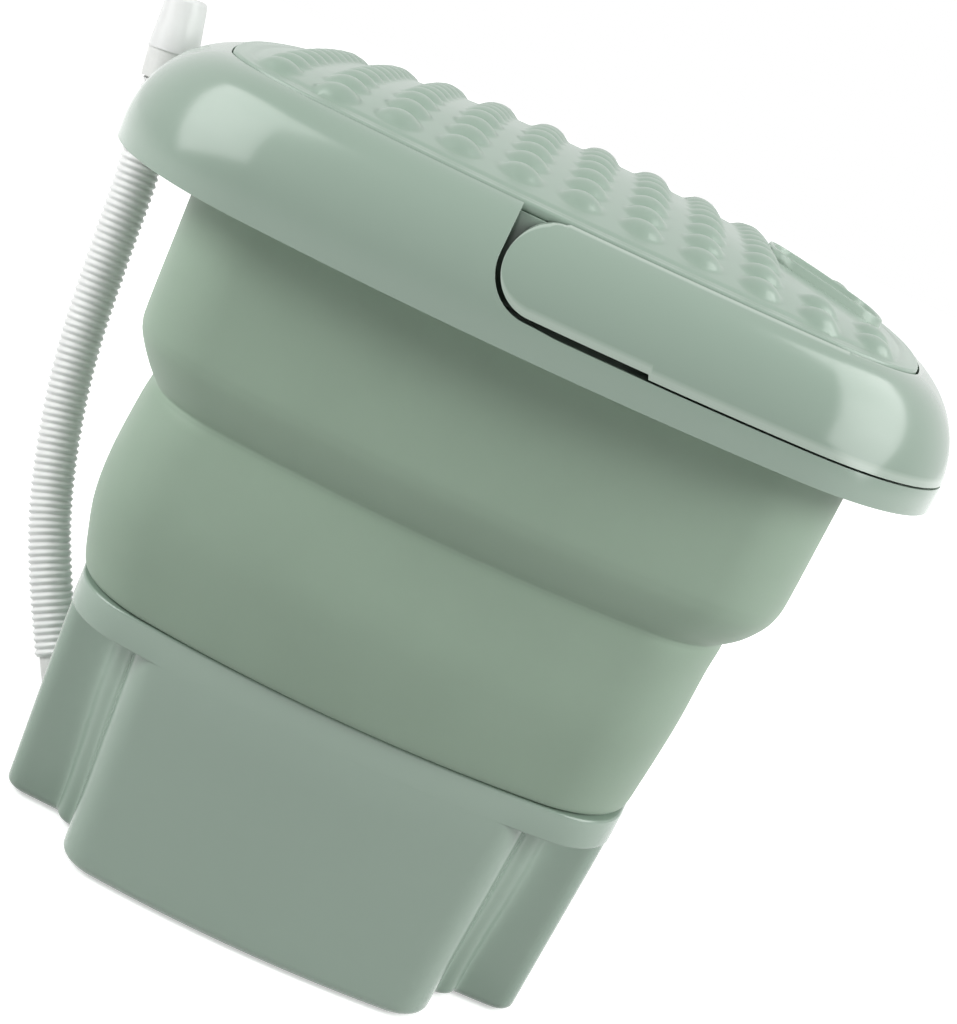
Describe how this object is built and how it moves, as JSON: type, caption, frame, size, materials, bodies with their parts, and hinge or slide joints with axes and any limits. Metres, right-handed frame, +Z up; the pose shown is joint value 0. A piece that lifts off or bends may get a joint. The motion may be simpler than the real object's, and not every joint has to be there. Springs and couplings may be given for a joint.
{
  "type": "foldable washing machine",
  "caption": "Small foldable tub washing machine: pleated base with drive, soft two-tier wall that collapses, oval rim with bail handle, bumped lift-off lid and ribbed drain hose.",
  "frame": {"origin": "on the surface that the feet stand on, below the middle of the tub", "axes": "+Z up, +X towards the side where the folded bail handle lies, -Y towards the plain side"},
  "size_m": [0.4106, 0.304, 0.3696],
  "materials": {
    "sage_shell": "satin",
    "soft_tub": "satin",
    "dark_cover": "matte",
    "foot_rubber": "matte",
    "steel": "brushed",
    "motor_paint": "satin",
    "bronze": "satin",
    "white_plastic": "satin",
    "clear_hose": "satin",
    "grey_plastic": "satin",
    "lens_plastic": "gloss",
    "board_green": "satin"
  },
  "bodies": {
    "base_body": {"base_housing": "sage_shell", "bottom_cover": "dark_cover", "bottom_screws": "steel", "rubber_feet": "foot_rubber", "motor_mount_plate": "steel", "mount_screws": "steel", "gearbox_housing": "grey_plastic", "motor_can": "motor_paint", "shaft_bush": "bronze", "shaft_seal": "foot_rubber", "drum_floor": "sage_shell", "drain_grille": "grey_plastic", "bellows": "soft_tub", "bellows_lower_clamp": "sage_shell", "drain_elbow": "white_plastic", "drain_hose": "clear_hose", "control_bezel": "grey_plastic", "indicator_lens": "lens_plastic", "control_board": "board_green", "board_screws": "steel", "power_inlet": "dark_cover"},
    "pulsator_body": {"drive_shaft": "steel", "pulsator": "white_plastic", "pulsator_screw": "steel"},
    "rim_body": {"rim": "sage_shell", "rim_underplate": "sage_shell", "rim_screws": "steel", "handle_pivot_pins": "steel", "bellows_upper_clamp": "sage_shell", "hose_clip": "white_plastic", "hose_cuff": "white_plastic"},
    "handle_body": {"carry_handle": "sage_shell"},
    "lid_body": {"lid": "sage_shell"},
    "cap_body": {"hose_cap": "clear_hose"},
    "power_button_body": {"power_button": "white_plastic"},
    "mode_button_body": {"mode_button": "white_plastic"}
  },
  "joints": [
    {"name": "tub_fold", "type": "slide", "parent": "base_body", "child": "rim_body", "axis": [0, 0, 1], "range_m": [-0.11, 0], "deforming": ["bellows", "drain_hose"]},
    {"name": "handle_swing", "type": "hinge", "parent": "rim_body", "child": "handle_body", "pos_m": [0, 0, 0.3304], "axis": [0, -1, 0], "range_deg": [0, 90]},
    {"name": "lid_lift", "type": "slide", "parent": "rim_body", "child": "lid_body", "axis": [0, 0, 1], "range_m": [0, 0.195]},
    {"name": "hose_cap_pull", "type": "slide", "parent": "rim_body", "child": "cap_body", "axis": [-0.1192, 0.0733, 0.9902], "range_m": [0, 0.03]},
    {"name": "pulsator_spin", "type": "hinge", "parent": "base_body", "child": "pulsator_body", "pos_m": [0, 0, 0.134], "axis": [0, 0, 1], "continuous": true},
    {"name": "power_button_press", "type": "slide", "parent": "base_body", "child": "power_button_body", "axis": [0, -1, 0], "range_m": [0, 0.0015], "stiffness_N_per_m": 300},
    {"name": "mode_button_press", "type": "slide", "parent": "base_body", "child": "mode_button_body", "axis": [0, -1, 0], "range_m": [0, 0.0015], "stiffness_N_per_m": 300}
  ]
}
